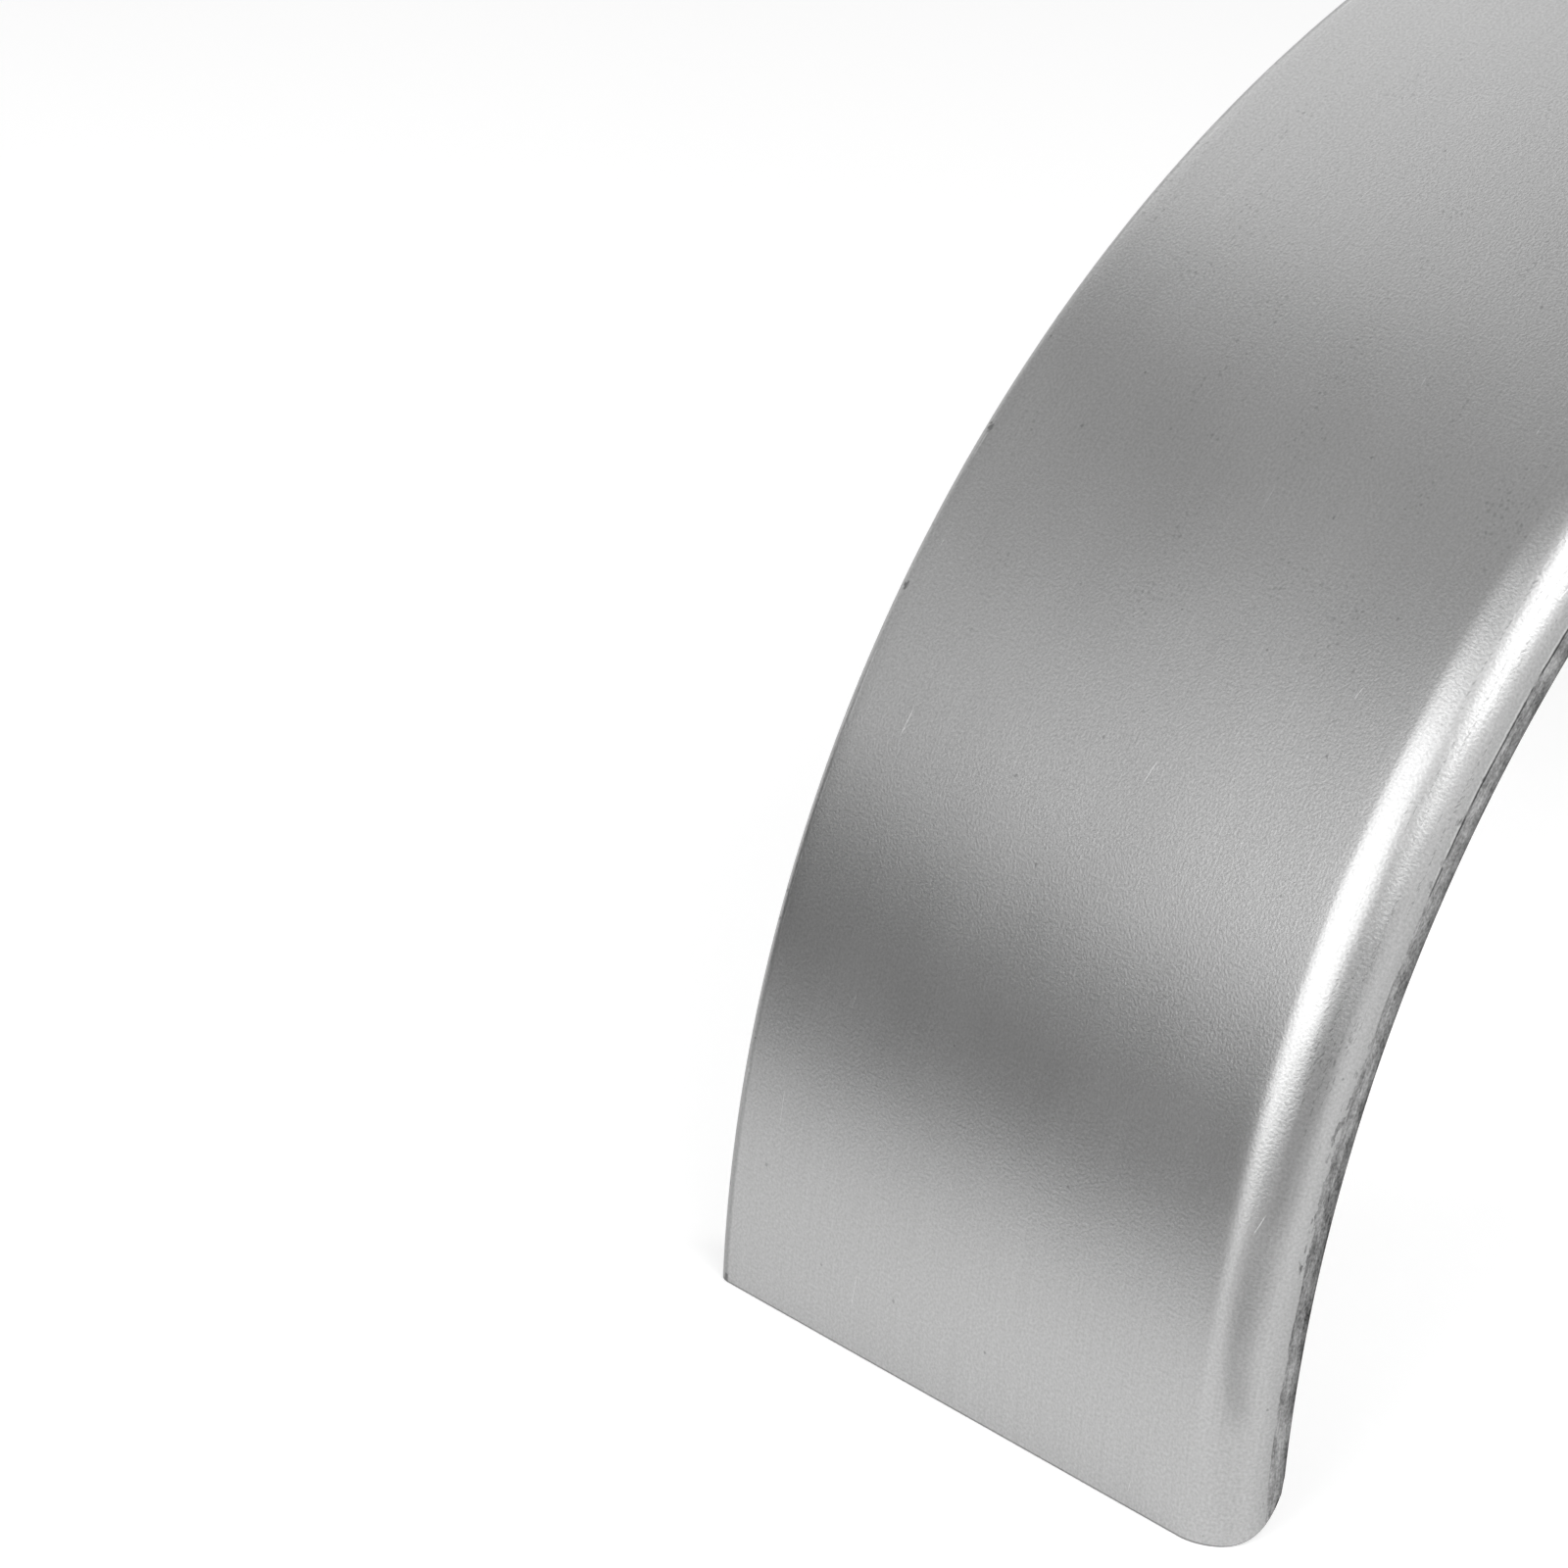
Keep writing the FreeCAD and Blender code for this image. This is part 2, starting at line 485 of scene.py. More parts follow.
def rolledGrainGroup():
    # Fine even grain, faint lines along the sheet and broad clouds, each a noise about a half
    group, given, out = startGroup(
        "rolledGrain", ("Grain Size", "Line Length", "Line Width", "Cloud Size"), grainNoises)
    for label, (length, width, detail, shift) in grainNoises.items():
        noise = noiseNode(group, given["Surface"], given[length], given[width], detail, shift)
        group.links.new(noise, out[label])
    return group


def cellNode(tree, surface, cellSize):
    # One random point in each cell: the vector from it in metres, the distance, random numbers
    cells = tree.nodes.new("ShaderNodeTexVoronoi")
    cells.voronoi_dimensions = "2D"
    cells.inputs["Scale"].default_value = 1.0
    size = tree.nodes.new("ShaderNodeCombineXYZ")
    for axis in ("X", "Y"):
        joinSocket(tree, cellSize, size.inputs[axis])
    size.inputs["Z"].default_value = 1.0
    place = vectorNode(tree, "DIVIDE", surface, size.outputs[0])
    tree.links.new(place, cells.inputs["Vector"])
    away = vectorNode(tree, "SUBTRACT", place, cells.outputs["Position"])
    away = vectorNode(tree, "MULTIPLY", away, size.outputs[0])
    chance = tree.nodes.new("ShaderNodeSeparateColor")
    tree.links.new(cells.outputs["Color"], chance.inputs[0])
    return away, mathNode(tree, "MULTIPLY", cells.outputs["Distance"], cellSize), chance.outputs


# Pairs of a rise and a base turn a random number or a noise into a factor, and the other pairs are
# the limits of a smooth fade
speckValues = {"size": (0.9, 0.35), "ragged": (1.6, 0.2), "edge": (0.7, 1.2)}
scratchValues = {"length": (1.2, 0.3), "ends": (0.5, 1.0), "sides": (0.3, 1.0)}


def specksGroup():
    # Small spots with ragged edges, one in some of the cells, of uneven size
    group, given, out = startGroup("specks", ("Cell Size", "Share", "Mark Size"), ("Mask",))
    _, distance, chance = cellNode(group, given["Surface"], given["Cell Size"])
    size = productNode(group, given["Mark Size"],
                       mathNode(group, "MULTIPLY_ADD", chance["Green"], *speckValues["size"]))
    ragged = noiseNode(group, given["Surface"], given["Mark Size"], given["Mark Size"])
    ragged = mathNode(group, "MULTIPLY_ADD", ragged, *speckValues["ragged"])
    reach = productNode(group, size, ragged)
    spot = fallNode(group, mathNode(group, "DIVIDE", distance, reach), *speckValues["edge"])
    taken = mathNode(group, "LESS_THAN", chance["Red"], given["Share"])
    group.links.new(productNode(group, spot, taken), out["Mask"])
    return group


def scratchesGroup():
    # Thin straight hairlines, one in some of the cells, turned about the length of the sheet
    group, given, out = startGroup(
        "hairScratches", ("Cell Size", "Share", "Length", "Width", "Lean"), ("Mask",))
    away, _, chance = cellNode(group, given["Surface"], given["Cell Size"])
    lean = mathNode(group, "MULTIPLY_ADD", chance["Blue"], 2.0, -1.0)
    along, across = splitNode(group, turnNode(group, away, productNode(group, lean, given["Lean"])))
    length = productNode(group, given["Length"],
                         mathNode(group, "MULTIPLY_ADD", chance["Green"], *scratchValues["length"]))
    along = mathNode(group, "DIVIDE", mathNode(group, "ABSOLUTE", along), length)
    across = mathNode(group, "DIVIDE", mathNode(group, "ABSOLUTE", across), given["Width"])
    line = productNode(group, fallNode(group, along, *scratchValues["ends"]),
                       fallNode(group, across, *scratchValues["sides"]))
    taken = mathNode(group, "LESS_THAN", chance["Red"], given["Share"])
    group.links.new(productNode(group, line, taken), out["Mask"])
    return group


# A noise is given by its length along the sheet and width across it in metres, detail and shift
edgeValues = {
    "wander": (0.011, 0.004, 4.0),
    "stripFade": (-0.0002, 0.0003),
    "patches": (0.0048, 0.0018, 5.0, 1.9),
    "patchLevel": (0.22, 0.565),                # rises with the distance from the strip
    "patchShare": (0.045, 0.5, 1.0, 5.7),       # swings the level along the sheet
    "patchSwing": (0.5, -0.25),
    "patchFade": (0.0, 0.05, 0.0, 0.8),
    "patchEnd": (0.8, 1.5),
    "nearEnd": ((0.040, 0.060), (0.100, 0.150)),        # where the patches are thicker and darker
    "nearEndLevel": -0.07,
    "nearEndMottle": -0.06,
    "mottles": (                                # three noises with their shares
        ((0.0012, 0.0007, 3.0, 8.8), 0.34),
        ((0.0100, 0.0008, 3.0, 5.2), 0.22),
        ((0.0090, 0.0034, 4.0, 3.6), 0.44),
    ),
    "freeSide": 0.6,                            # share of the strip that darkens to the free edge
    "freeShade": (0.36, 0.76),
    "creaseFade": 0.08,
    "gaps": (0.014, 0.5, 3.0, 2.4),
    "gapFade": (0.36, 0.46),
    "creaseWander": 0.0003,
    "creaseWidth": (0.0030, 0.5, 3.0, 6.9),
    "creaseRagged": (1.6, 0.2),
    "creaseLine": (0.00018, 0.00046),
    "paintedGlintOffset": 0.0007,
}


def edgeScaleGroup():
    # Mill scale on the strip beside the free edge: the strip with its wandering border, ragged
    # patches that reach beyond it, the mottling inside, and the fine crease along its border
    group, given, out = startGroup(
        "edgeScale", ("Strip Width", "Wander", "Patch Reach", "Crease From"),
        ("Scale", "Mottle", "Crease", "Painted Glint"))
    surface = given["Surface"]
    values = edgeValues
    along, across = splitNode(group, surface)
    fromEnd = fromEndNode(group, along)
    beyond = mathNode(group, "SUBTRACT", across, given["Strip Width"])
    wander = noiseNode(group, surface, *values["wander"])
    wander = mathNode(group, "MULTIPLY_ADD", wander, 2.0, -1.0)
    border = mathNode(group, "SUBTRACT", beyond, productNode(group, wander, given["Wander"]))
    strip = fallNode(group, border, *values["stripFade"])

    far = mathNode(group, "DIVIDE", beyond, given["Patch Reach"])
    swing = mathNode(group, "MULTIPLY_ADD", noiseNode(group, surface, *values["patchShare"]),
                     *values["patchSwing"])
    nearEnd = windowNode(group, fromEnd, *values["nearEnd"])
    level = mathNode(group, "MULTIPLY_ADD", far, *values["patchLevel"])
    level = mathNode(group, "SUBTRACT", level, swing)
    level = mathNode(group, "MULTIPLY_ADD", nearEnd, values["nearEndLevel"], level)
    above = mathNode(group, "SUBTRACT", noiseNode(group, surface, *values["patches"]), level)
    patch = productNode(group, rangeNode(group, above, *values["patchFade"]),
                        fallNode(group, far, *values["patchEnd"]))
    group.links.new(mathNode(group, "MAXIMUM", strip, patch), out["Scale"])

    # The mottling darkens towards the free edge
    mottle = productNode(group, nearEnd, values["nearEndMottle"])
    for noise, share in values["mottles"]:
        mottle = mathNode(group, "MULTIPLY_ADD", noiseNode(group, surface, *noise), share, mottle)
    side = productNode(group, given["Strip Width"], values["freeSide"])
    inStrip = mathNode(group, "MINIMUM", mathNode(group, "DIVIDE", across, side), 1.0)
    inStrip = mathNode(group, "MULTIPLY_ADD", inStrip, *values["freeShade"])
    group.links.new(productNode(group, mottle, inStrip), out["Mottle"])

    # Painted shade along the crease, clear of the arch's ends, and a painted highlight along its
    # upper side
    clear = rangeNode(group, fromEnd, given["Crease From"],
                      mathNode(group, "ADD", given["Crease From"], values["creaseFade"]))
    gaps = rangeNode(group, noiseNode(group, surface, *values["gaps"]), *values["gapFade"])
    clear = productNode(group, clear, gaps)
    ragged = mathNode(group, "MULTIPLY_ADD", noiseNode(group, surface, *values["creaseWidth"]),
                      *values["creaseRagged"])
    crease = mathNode(group, "SUBTRACT", beyond, productNode(group, wander, values["creaseWander"]))
    for offset, label in ((0.0, "Crease"), (values["paintedGlintOffset"], "Painted Glint")):
        line = mathNode(group, "ABSOLUTE", mathNode(group, "SUBTRACT", crease, offset))
        line = fallNode(group, productNode(group, line, ragged), *values["creaseLine"])
        group.links.new(productNode(group, line, clear), out[label])
    return group


rubValues = {
    "sideFade": 0.002,
    "endFade": 0.04,
    "dashNoise": (2.0, 4.4),                    # detail and shift
    "dashFade": (0.50, 0.60),
    "clusters": (0.038, 0.0015, 2.0, 6.6),
    "clusterFade": (0.595, 0.64),
}


def rubGroup():
    # Clusters of short fine dashes inside a band of the section, leaning over the sheet's length
    group, given, out = startGroup(
        "rubMarks", ("From", "To", "End Gap", "Dash Along", "Dash Across", "Lean"), ("Mask",))
    surface = given["Surface"]
    values = rubValues
    along, across = splitNode(group, surface)
    band = windowNode(
        group, across,
        (given["From"], mathNode(group, "ADD", given["From"], values["sideFade"])),
        (mathNode(group, "SUBTRACT", given["To"], values["sideFade"]), given["To"]),
    )
    clear = rangeNode(group, fromEndNode(group, along), given["End Gap"],
                      mathNode(group, "ADD", given["End Gap"], values["endFade"]))
    leaning = turnNode(group, surface, given["Lean"])
    dashes = noiseNode(group, leaning, given["Dash Along"], given["Dash Across"],
                       *values["dashNoise"])
    dashes = rangeNode(group, dashes, *values["dashFade"])
    clusters = noiseNode(group, surface, *values["clusters"])
    clusters = rangeNode(group, clusters, *values["clusterFade"])
    group.links.new(productNode(group, band, clear, dashes, clusters), out["Mask"])
    return group


# Shares of the streak's length, and of its half width from the middle towards each side
streakValues = {
    "curl": (0.0, 0.45),
    "start": (0.0, 0.22),
    "end": (0.4, 1.0),
    "freeSide": (-1.6, -0.1),
    "webSide": (0.1, 1.0),
}


def darkStreakGroup():
    # Soft dark streak along the roll near an end, sharper on the web's side, which drifts towards
    # the free edge as it runs up the arch
    group, given, out = startGroup(
        "rollDarkStreak", ("Middle", "Drift", "Curl", "Half Width", "From", "To"), ("Mask",))
    values = streakValues
    along, across = splitNode(group, given["Surface"])
    fromEnd = fromEndNode(group, along)
    reach = mathNode(group, "SUBTRACT", given["To"], given["From"])
    place = mathNode(group, "DIVIDE", mathNode(group, "SUBTRACT", fromEnd, given["From"]), reach)
    drift = productNode(group, fromEnd, given["Drift"])
    middle = mathNode(group, "SUBTRACT", given["Middle"], drift)
    curl = productNode(group, fallNode(group, place, *values["curl"]), given["Curl"])
    offset = mathNode(group, "ADD", mathNode(group, "SUBTRACT", across, middle), curl)
    offset = mathNode(group, "DIVIDE", offset, given["Half Width"])
    band = windowNode(group, offset, values["freeSide"], values["webSide"])
    length = windowNode(group, place, values["start"], values["end"])
    group.links.new(productNode(group, band, length), out["Mask"])
    return group


def shaded(tree, shade, value, amount):
    # Multiplies a shade by 1 where a noise is at its middle, and more or less on each side
    swing = mathNode(tree, "SUBTRACT", value, 0.5)
    return mathNode(tree, "MULTIPLY", shade, mathNode(tree, "MULTIPLY_ADD", swing, 2 * amount, 1.0))


def marked(tree, shade, mask, amount):
    # Darkens a shade where a mask is 1, or lightens it where the amount is negative
    return mathNode(tree, "MULTIPLY", shade, mathNode(tree, "MULTIPLY_ADD", mask, -amount, 1.0))


def startMaterial(name):
    material = bpy.data.materials.new(name)
    material.use_nodes = True
    tree = material.node_tree
    shader = tree.nodes["Principled BSDF"]
    shader.inputs["Metallic"].default_value = 1
    return material, tree, shader


def sheetPlace(tree):
    place = tree.nodes.new("ShaderNodeUVMap")
    place.uv_map = "sheetRun"
    return place.outputs[0]


def tinted(tree, colour, shade):
    # A colour times a grey shade
    mix = tree.nodes.new("ShaderNodeMix")
    mix.data_type = "RGBA"
    mix.blend_type = "MULTIPLY"
    mix.inputs[0].default_value = 1.0
    joinSocket(tree, colour, mix.inputs[6])
    joinSocket(tree, shade, mix.inputs[7])
    return mix.outputs[2]


# Where each mark of the outer skin lies, as the limits of its fade in metres: across the sheet, or
# from an end of the arch. A noise is given by its length, width, detail and shift, and its level
# is where it starts and ends to show
outerValues = {
    "roll": (rollEnd - 0.004, rollEnd + 0.004),
    "bend": (bendStart - 0.0008, bendStart + 0.0004),
    "shoulder": (bendStart + 0.0034, bendStart + 0.0048),
    "curve": (bendEnd - 0.004, bendEnd + 0.004),
    "flange": (bendEnd - 0.001, bendEnd + 0.004),
    "paintedBendShade": (0.050, 0.150),
    "prickNoise": (0.050, 0.018, 2.0, 9.4),
    "prickLevel": (0.56, 0.68),
    "pricksFrom": (0.140, 0.260),
    "stainNoise": (0.026, 0.007, 4.0, 2.7),
    "stainLevel": (0.40, 0.62),
    "stainReach": (0.045, 0.080),
    "paintedEndShade": (0.0003, 0.0007),
    "freeEdgeDarkening": (0.0050, 0.0130),
}


def outerSteel(groups):
    material, tree, shader = startMaterial("outerSteel")
    surface = sheetPlace(tree)
    values = outerValues
    grain = useGroup(tree, groups["grain"], surface, outerGrain)
    specks = useGroup(tree, groups["specks"], surface, webSpecks)["Mask"]
    spots = useGroup(tree, groups["specks"], surface, bendSpecks)["Mask"]
    pricks = useGroup(tree, groups["specks"], surface, webPricks)["Mask"]
    scratches = useGroup(tree, groups["scratches"], surface, hairlines)["Mask"]
    scores = useGroup(tree, groups["scratches"], surface, darkLines)["Mask"]
    scale = useGroup(tree, groups["edgeScale"], surface, freeEdge)
    rub = useGroup(tree, groups["rub"], surface, rollRub)["Mask"]
    flangeMarks = useGroup(tree, groups["rub"], surface, flangeRub)["Mask"]
    paleBendDashes = useGroup(tree, groups["rub"], surface, bendPaleDashes)["Mask"]
    streak = useGroup(tree, groups["streak"], surface, rollStreak)["Mask"]

    along, across = splitNode(tree, surface)
    fromEnd = fromEndNode(tree, along)
    onRoll = fallNode(tree, across, *values["roll"])
    onFlange = rangeNode(tree, across, *values["flange"])
    spots = productNode(tree, spots, windowNode(tree, across, values["bend"], values["shoulder"]))
    # painted shade: the bend is darkened near the ends of the arch
    paintedBendShade = productNode(tree, windowNode(tree, across, values["bend"], values["curve"]),
                           fallNode(tree, fromEnd, *values["paintedBendShade"]))
    pricked = noiseNode(tree, surface, *values["prickNoise"])
    pricked = rangeNode(tree, pricked, *values["prickLevel"])
    pricks = productNode(tree, pricks, pricked, rangeNode(tree, fromEnd, *values["pricksFrom"]))
    # painted shade: a thin dark line along the cut end where the arch starts
    paintedEndShade = fallNode(tree, along, *values["paintedEndShade"])
    # darker within about a centimetre of the rolled free edge
    freeEdgeDarkening = fallNode(tree, across, *values["freeEdgeDarkening"])

    # The flange's strip of scale is measured from its own free edge, and its ends are stained
    turned = tree.nodes.new("ShaderNodeCombineXYZ")
    tree.links.new(along, turned.inputs["X"])
    tree.links.new(mathNode(tree, "SUBTRACT", sheetWide, across), turned.inputs["Y"])
    flangeScale = useGroup(tree, groups["edgeScale"], turned.outputs[0], flangeEdge)
    flangeDull = mathNode(tree, "MULTIPLY_ADD", flangeScale["Mottle"], *steel["flangeMottle"])
    flangeDull = productNode(tree, flangeScale["Scale"], flangeDull)
    stain = rangeNode(tree, noiseNode(tree, surface, *values["stainNoise"]), *values["stainLevel"])
    nearEnd = fallNode(tree, fromEnd, *values["stainReach"])
    stain = productNode(tree, stain, onFlange, nearEnd)

    shade = 1.0
    for noise, amount in (
        (grain["Grain"], steel["grainShade"]),
        (grain["Lines"], steel["lineShade"]),
        (grain["Clouds"], steel["cloudShade"]),
    ):
        shade = shaded(tree, shade, noise, amount)
    for mask, amount in (
        (specks, steel["speckShade"]),
        (spots, steel["spotShade"]),
        (flangeDull, steel["flangeShade"]),
        (stain, steel["stainShade"]),
        (flangeMarks, steel["rubShade"]),
        (pricks, steel["prickShade"]),
        (scratches, -steel["scratchShade"]),
        (scores, steel["scoreShade"]),
        (rub, steel["rubShade"]),
        (streak, steel["streakShade"]),
        (paintedBendShade, steel["bendPaintedShade"]),
        (paleBendDashes, -steel["paleDashShade"]),
        (paintedEndShade, steel["endPaintedShade"]),
        (freeEdgeDarkening, steel["freeEdgeDarkShade"]),
        # painted shade along the crease, and a painted highlight beside it
        (scale["Crease"], steel["creasePaintedShade"]),
        (scale["Painted Glint"], -steel["glintPaintedHighlight"]),
    ):
        shade = marked(tree, shade, mask, amount)

    mottled = mathNode(tree, "MULTIPLY_ADD", scale["Mottle"], *steel["mottleShade"])
    metal = tree.nodes.new("ShaderNodeMix")
    metal.data_type = "RGBA"
    tree.links.new(scale["Scale"], metal.inputs[0])
    metal.inputs[6].default_value = steel["colour"]
    tree.links.new(tinted(tree, steel["scaleColour"], mottled), metal.inputs[7])
    tree.links.new(tinted(tree, metal.outputs[2], shade), shader.inputs["Base Color"])

    clouds = mathNode(tree, "SUBTRACT", grain["Clouds"], 0.5)
    rough = mathNode(tree, "MULTIPLY_ADD", onRoll, steel["rollRoughness"] - steel["webRoughness"],
                     steel["webRoughness"])
    rough = mathNode(tree, "MULTIPLY_ADD", clouds, steel["cloudRoughness"], rough)
    rough = mathNode(tree, "MULTIPLY_ADD", scale["Scale"],
                     steel["scaleRoughness"] - steel["rollRoughness"], rough)
    tree.links.new(rough, shader.inputs["Roughness"])

    relief = mathNode(tree, "MULTIPLY_ADD", grain["Grain"], steel["grainRelief"],
                      productNode(tree, scratches, steel["scratchRelief"]))
    relief = mathNode(tree, "MULTIPLY_ADD", scale["Crease"], steel["creaseRelief"], relief)
    bump = tree.nodes.new("ShaderNodeBump")
    bump.inputs["Distance"].default_value = steel["reliefDepth"]
    tree.links.new(relief, bump.inputs["Height"])
    tree.links.new(bump.outputs[0], shader.inputs["Normal"])
    return material


def innerSteel(groups):
    material, tree, shader = startMaterial("innerSteel")
    surface = sheetPlace(tree)
    grain = useGroup(tree, groups["grain"], surface, innerGrain)
    specks = useGroup(tree, groups["specks"], surface, innerSpecks)["Mask"]
    scale = useGroup(tree, groups["edgeScale"], surface, freeEdge)
    shade = shaded(tree, 1.0, grain["Grain"], steel["grainShade"])
    shade = shaded(tree, shade, grain["Lines"], innerValues["lines"] * steel["lineShade"])
    shade = shaded(tree, shade, grain["Clouds"], innerValues["clouds"] * steel["cloudShade"])
    shade = marked(tree, shade, specks, steel["speckShade"])
    shade = marked(tree, shade, productNode(tree, scale["Scale"], scale["Mottle"]),
                   innerValues["scaleShade"])
    tree.links.new(tinted(tree, steel["colour"], shade), shader.inputs["Base Color"])
    clouds = mathNode(tree, "SUBTRACT", grain["Clouds"], 0.5)
    rough = mathNode(tree, "MULTIPLY_ADD", clouds, innerValues["cloudRoughness"],
                     steel["innerRoughness"])
    tree.links.new(rough, shader.inputs["Roughness"])
    return material


def cutSteel(groups):
    # Sheared edge: short streaks through the thickness, darker and duller than the skins
    material, tree, shader = startMaterial("cutSteel")
    place = tree.nodes.new("ShaderNodeTexCoord").outputs["Object"]
    grain = useGroup(tree, groups["grain"], place, cutGrain)
    shade = shaded(tree, cutValues["shade"], grain["Grain"], cutValues["grainShade"])
    shade = shaded(tree, shade, grain["Lines"], cutValues["lineShade"])
    tree.links.new(tinted(tree, steel["colour"], shade), shader.inputs["Base Color"])
    rough = mathNode(tree, "MULTIPLY_ADD", grain["Clouds"], cutValues["cloudRoughness"],
                     cutValues["roughness"])
    tree.links.new(rough, shader.inputs["Roughness"])
    return material


def steelMaterials():
    groups = {
        "grain": rolledGrainGroup(),
        "specks": specksGroup(),
        "scratches": scratchesGroup(),
        "edgeScale": edgeScaleGroup(),
        "rub": rubGroup(),
        "streak": darkStreakGroup(),
    }
    return [outerSteel(groups), innerSteel(groups), cutSteel(groups)]


studio = {
    "floorColour": (0.78, 0.78, 0.78, 1),
    "floorLift": 0.20,                    # light that the floor adds to itself where metal shows it
    "floorWhite": 0.40,                   # and where the camera sees it
    "floorHalf": 8.0,
    "floorRoughness": 0.9,
    # painted pool of light on the floor, seen by the camera only
    "paintedPoolCentre": (0.05, 0.63, 0),        # the white lies in a wide pool, and the grey round it is
    "paintedPoolEdge": (0.95, 1.60, 4.0),        # darkest at the second distance and pale past the third
    "paintedPoolDrop": 0.40,
    "paintedPoolRise": 0.30,
    "airHorizon": 0.98,
    "airAbove": 0.365,
    "airFade": 0.484,                     # sine of the elevation where the air stops getting darker
    "airSeen": 0.72,                      # grey of the air behind the floor, as the camera sees it
    "lampTarget": (-0.30, -0.05, 0.12),   # point that the lamps face
}

# Each lamp: place, width and height in metres, radiance straight ahead, and the angle that its
# light fans out over
softboxes = {
    "sideBox": {"place": (-2.252, 0.021, 1.131), "wide": 2.72, "high": 1.58, "radiance": 2.50,
                "spread": 140},
    "frontBox": {"place": (-0.231, -1.734, 1.534), "wide": 2.32, "high": 1.70, "radiance": 3.50,
                 "spread": 130},
    "backBox": {"place": (0.103, 1.587, 1.534), "wide": 1.40, "high": 0.90, "radiance": 0.92,
                "spread": 180},
}

# Low dark cards that stand on the floor round the near end of the guard and draw the dark band
# between the floor's reflection and the lamps'. Each arc runs between two bearings, in degrees
# from -X towards +Y, and has a shade of grey
horizonCards = {
    "centre": (-0.33, -0.05),
    "radius": 0.80,
    "height": 0.285,
    "points": 33,
    "arcs": ((-80.0, -3.0, 0.20), (15.0, 74.0, 0.10)),
}


def stagePiece(name, corners, quads, colour):
    # Floor or card with a plain matt material
    mesh = bpy.data.meshes.new(name)
    mesh.from_pydata(corners, [], quads)
    piece = bpy.data.objects.new(name, mesh)
    bpy.context.scene.collection.objects.link(piece)
    material = bpy.data.materials.new(name + "Matt")
    material.use_nodes = True
    shader = material.node_tree.nodes["Principled BSDF"]
    shader.inputs["Base Color"].default_value = colour
    shader.inputs["Roughness"].default_value = studio["floorRoughness"]
    shader.inputs["Specular IOR Level"].default_value = 0.0
    mesh.materials.append(material)
    return piece


def makeStage():
    half = studio["floorHalf"]
    corners = [(-half, -half, 0), (half, -half, 0), (half, half, 0), (-half, half, 0)]
    floor = stagePiece("floor", corners, [(0, 1, 2, 3)], studio["floorColour"])

    # The floor is seen near white, directly and in the metal, and lights the guard no more for it
    tree = floor.data.materials[0].node_tree
    seen = tree.nodes.new("ShaderNodeLightPath").outputs
    reflected = mathNode(tree, "MAXIMUM", seen["Is Glossy Ray"], seen["Is Transmission Ray"])
    lift = mathNode(tree, "MULTIPLY", reflected, studio["floorLift"])
    # painted pool of light: the camera sees the floor glow white near the guard, and grey round it
    away = tree.nodes.new("ShaderNodeVectorMath")
    away.operation = "DISTANCE"
    tree.links.new(tree.nodes.new("ShaderNodeTexCoord").outputs["Object"], away.inputs[0])
    away.inputs[1].default_value = studio["paintedPoolCentre"]
    near, low, far = studio["paintedPoolEdge"]
    white = rangeNode(tree, away.outputs["Value"], near, low, studio["floorWhite"],
                      studio["floorWhite"] - studio["paintedPoolDrop"])
    white = mathNode(tree, "ADD", white, rangeNode(tree, away.outputs["Value"], low, far, 0.0,
                                                   studio["paintedPoolRise"]))
    lift = mathNode(tree, "MULTIPLY_ADD", seen["Is Camera Ray"], white, lift)
    shader = tree.nodes["Principled BSDF"]
    shader.inputs["Emission Color"].default_value = (1, 1, 1, 1)
    tree.links.new(lift, shader.inputs["Emission Strength"])

    # A card's points run round an arc of a circle, once at the floor and once at its top
    cards = horizonCards
    for number, (first, last, grey) in enumerate(cards["arcs"], 1):
        bearing = np.radians(np.linspace(first, last, cards["points"]))
        foot = np.stack((cards["centre"][0] - cards["radius"] * np.cos(bearing),
                         cards["centre"][1] + cards["radius"] * np.sin(bearing),
                         np.zeros_like(bearing)), axis=-1)
        corners = np.concatenate((foot, foot + (0, 0, cards["height"])))
        k = np.arange(len(bearing) - 1)
        quads = np.stack((k, k + 1, k + 1 + len(bearing), k + len(bearing)), axis=-1)
        card = stagePiece("horizonCard%d" % number, corners.tolist(), quads.tolist(),
                          (grey, grey, grey, 1))
        card.visible_camera = False
        card.visible_shadow = False
        card.visible_diffuse = False


def makeLamps():
    for name, box in softboxes.items():
        data = bpy.data.lights.new(name, "AREA")
        data.shape = "RECTANGLE"
        data.size = box["wide"]
        data.size_y = box["high"]
        data.spread = math.radians(box["spread"])
        data.energy = box["radiance"] * math.pi * box["wide"] * box["high"]
        if box["spread"] < 180:
            data.energy *= 1 - data.spread / 2 / math.tan(data.spread / 2)
        lamp = bpy.data.objects.new(name, data)
        bpy.context.scene.collection.objects.link(lamp)
        lamp.location = box["place"]
        aim = Vector(studio["lampTarget"]) - Vector(box["place"])
        lamp.rotation_euler = aim.to_track_quat("-Z", "Y").to_euler()
        lamp.visible_camera = False


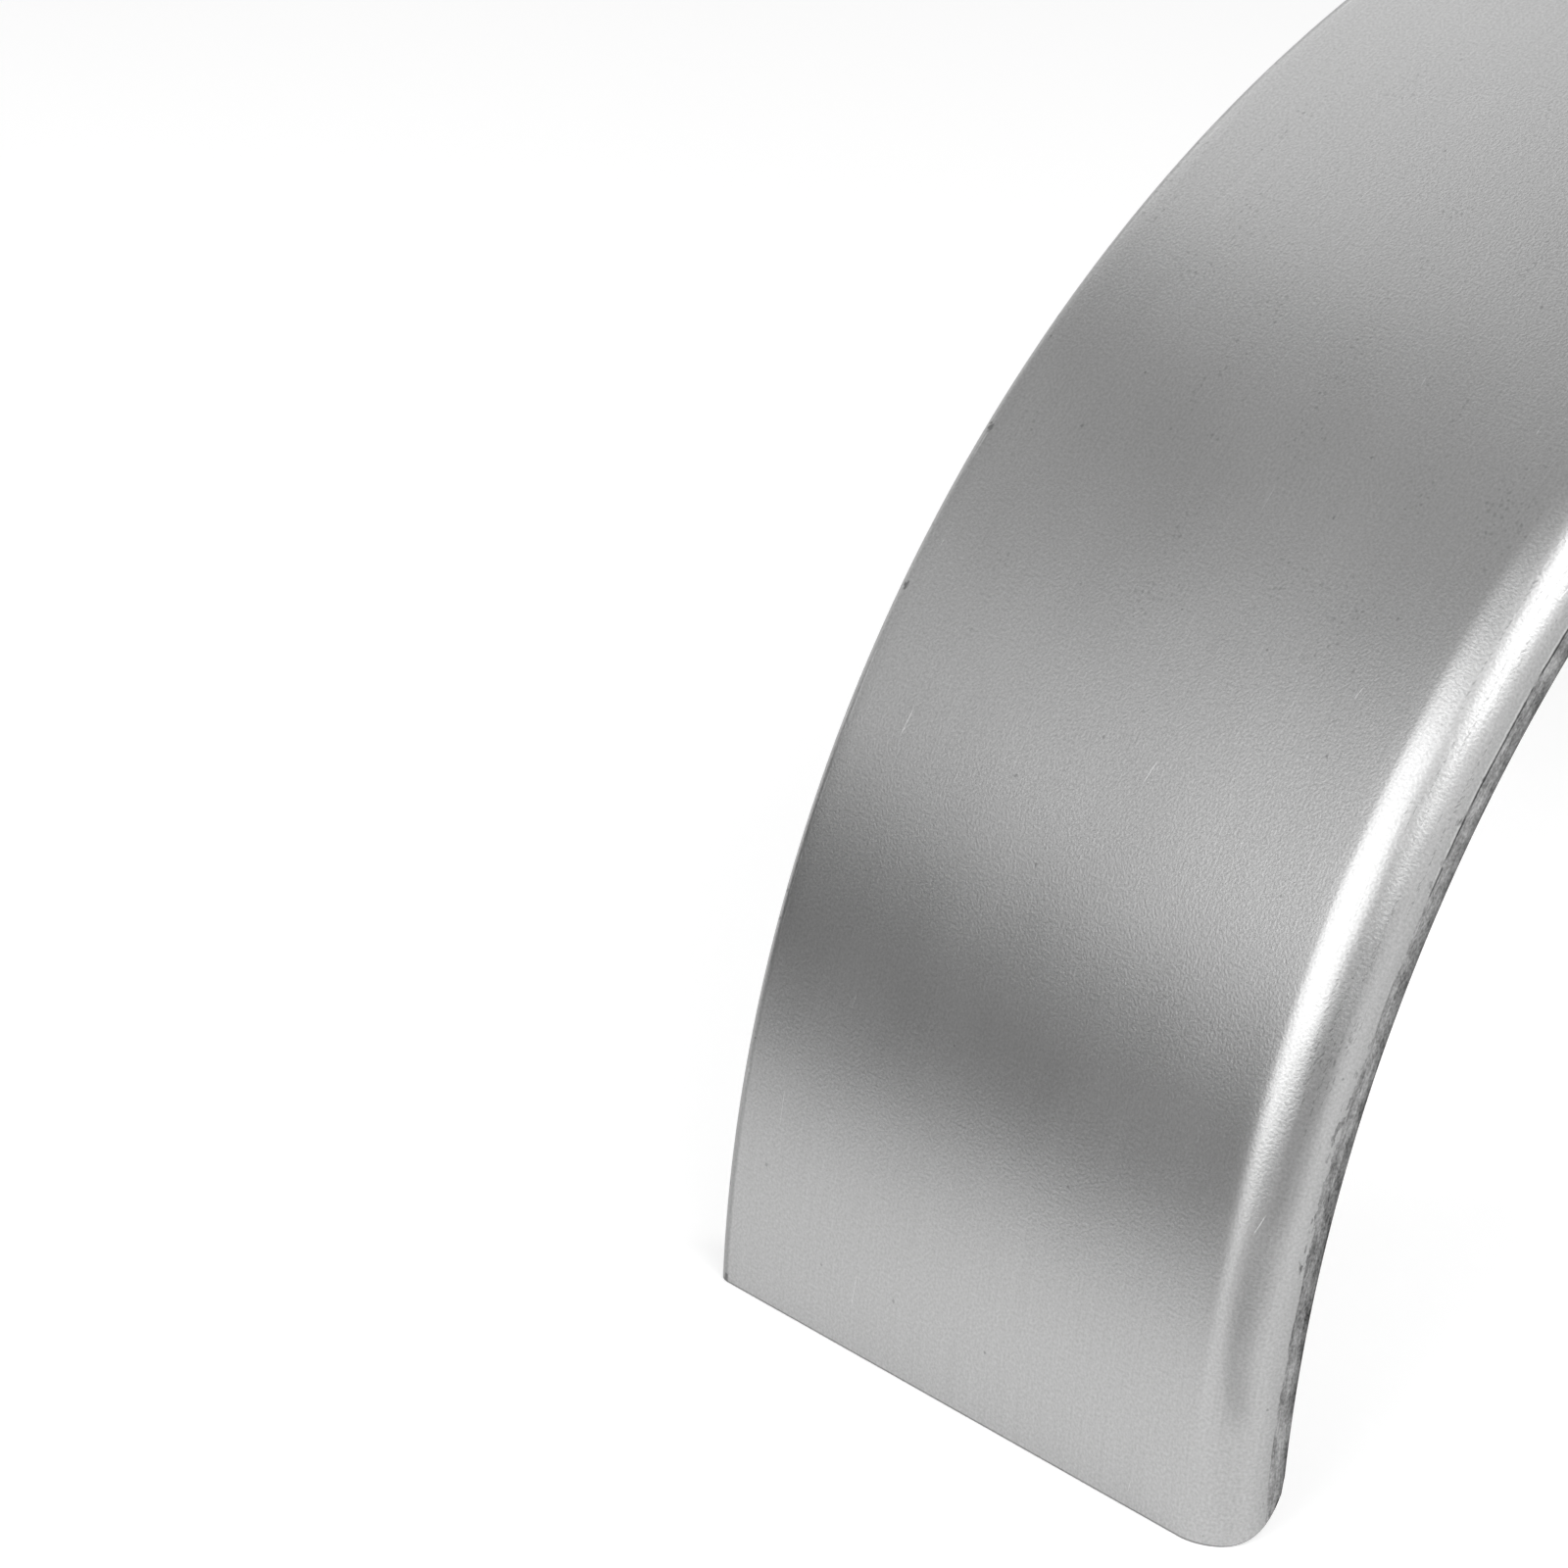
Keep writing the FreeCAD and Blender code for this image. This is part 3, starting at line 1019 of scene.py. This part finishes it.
def makeWorld():
    # Brightest at the horizon, and even above the elevation where the fade ends
    world = bpy.data.worlds.new("studioAir")
    bpy.context.scene.world = world
    world.use_nodes = True
    tree = world.node_tree
    height = tree.nodes.new("ShaderNodeSeparateXYZ")
    tree.links.new(tree.nodes.new("ShaderNodeTexCoord").outputs["Generated"], height.inputs[0])
    fade = tree.nodes.new("ShaderNodeMapRange")
    tree.links.new(height.outputs["Z"], fade.inputs["Value"])
    fade.inputs["From Min"].default_value = 0
    fade.inputs["From Max"].default_value = studio["airFade"]
    fade.inputs["To Min"].default_value = studio["airHorizon"]
    fade.inputs["To Max"].default_value = studio["airAbove"]
    air = tree.nodes.new("ShaderNodeMix")
    tree.links.new(tree.nodes.new("ShaderNodeLightPath").outputs["Is Camera Ray"], air.inputs[0])
    tree.links.new(fade.outputs[0], air.inputs[2])
    air.inputs[3].default_value = studio["airSeen"]
    tree.links.new(air.outputs[0], tree.nodes["Background"].inputs["Color"])


def makeCamera():
    data = bpy.data.cameras.new("camera")
    data.lens = camera["lens"]
    data.sensor_width = camera["sensor"]
    data.clip_end = camera["sees"]
    eye = bpy.data.objects.new("camera", data)
    bpy.context.scene.collection.objects.link(eye)
    azimuth = math.radians(camera["azimuth"])
    elevation = math.radians(camera["elevation"])
    forward = Vector((
        math.cos(elevation) * math.sin(azimuth),
        math.cos(elevation) * math.cos(azimuth),
        -math.sin(elevation),
    ))
    right = Vector((math.cos(azimuth), -math.sin(azimuth), 0))
    up = right.cross(forward)
    turn = Matrix((right, up, -forward)).transposed()
    eye.matrix_world = Matrix.Translation(camera["place"]) @ turn.to_4x4()
    bpy.context.scene.camera = eye


bpy.context.scene.view_settings.view_transform = "Standard"
makeCamera()
makeWorld()
makeLamps()
makeStage()
print("studio: %d lamps, floor and %d cards" % (len(softboxes), len(horizonCards["arcs"])))

points, faces, finish, runs = guardMesh(guard)
volume = volumeOf(points, faces)
if volume < 0:
    faces = faces[:, ::-1]
print("guard sheet: %d vertices, %d quads, volume %.1f cm3"
      % (len(points), len(faces), abs(volume) * 1e6))
finishes = steelMaterials()
print("steel: %d materials, %d node groups" % (len(finishes), len(bpy.data.node_groups)))
sheet = pieceFromArrays("guardSheet", points, faces, finish, runs, finishes)
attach(sheet, "root")
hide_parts("mudguard")
